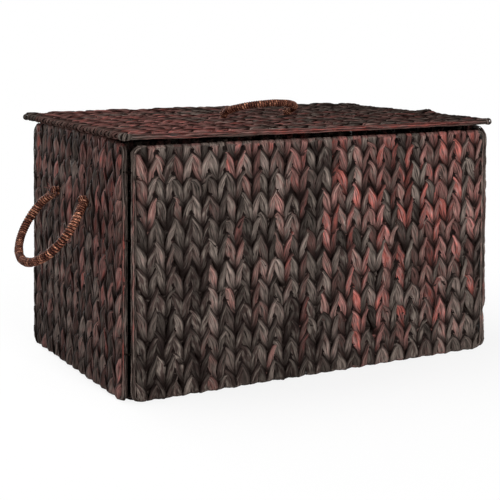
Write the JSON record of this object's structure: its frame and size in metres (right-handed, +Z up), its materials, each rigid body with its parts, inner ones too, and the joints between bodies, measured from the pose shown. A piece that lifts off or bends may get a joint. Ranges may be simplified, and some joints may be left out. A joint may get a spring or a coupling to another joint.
{
  "type": "woven storage box",
  "caption": "Rectangular box of twined water hyacinth on wire frames, with a loose lift-off woven lid and three rope handles.",
  "frame": {"origin": "on the floor, under the middle of the whole part", "axes": "+X along the front to the right, the front faces -Y, +Z up"},
  "size_m": [0.7668, 0.406, 0.3869],
  "materials": {
    "weave": "dull",
    "wire": "dull",
    "lashing": "matt",
    "rope": "matt"
  },
  "bodies": {
    "box": {"front_weave": "weave", "front_wire_frame": "wire", "right_weave": "weave", "right_wire_frame": "wire", "back_weave": "weave", "back_wire_frame": "wire", "left_weave": "weave", "left_wire_frame": "wire", "base_weave": "weave", "base_wire_frame": "wire", "front_left_tie_low": "lashing", "front_left_tie_middle": "lashing", "front_left_tie_high": "lashing", "front_right_tie_low": "lashing", "front_right_tie_middle": "lashing", "front_right_tie_high": "lashing", "back_left_tie_low": "lashing", "back_left_tie_middle": "lashing", "back_left_tie_high": "lashing", "back_right_tie_low": "lashing", "back_right_tie_middle": "lashing", "back_right_tie_high": "lashing", "base_front_tie_left": "lashing", "base_front_tie_middle": "lashing", "base_front_tie_right": "lashing", "base_back_tie_left": "lashing", "base_back_tie_middle": "lashing", "base_back_tie_right": "lashing", "base_left_tie_front": "lashing", "base_left_tie_back": "lashing", "base_right_tie_front": "lashing", "base_right_tie_back": "lashing", "left_handle_knot_front": "rope", "left_handle_knot_back": "rope", "right_handle_knot_front": "rope", "right_handle_knot_back": "rope"},
    "lid": {"lid_weave": "weave", "lid_wire_frame": "wire", "lid_wrap_front_left": "weave", "lid_wrap_front_right": "weave", "lid_wrap_back_left": "weave", "lid_wrap_back_right": "weave", "lid_handle_knot_left": "rope", "lid_handle_knot_right": "rope"},
    "left_handle": {"left_handle_rope": "rope"},
    "right_handle": {"right_handle_rope": "rope"},
    "lid_handle": {"lid_handle_rope": "rope"}
  },
  "joints": [
    {"name": "lid_lift", "type": "slide", "parent": "box", "child": "lid", "axis": [0, 0, 1], "range_m": [0, 0.37]},
    {"name": "left_handle_swing", "type": "hinge", "parent": "box", "child": "left_handle", "pos_m": [-0.313, 0.0025, 0.253], "axis": [0, 1, 0], "range_deg": [-24, 128]},
    {"name": "right_handle_swing", "type": "hinge", "parent": "box", "child": "right_handle", "pos_m": [0.313, 0.0025, 0.253], "axis": [0, -1, 0], "range_deg": [-24, 128]},
    {"name": "lid_handle_swing", "type": "hinge", "parent": "lid", "child": "lid_handle", "pos_m": [-0.01, -0.008, 0.3648], "axis": [-1, 0, 0], "range_deg": [0, 146]}
  ]
}
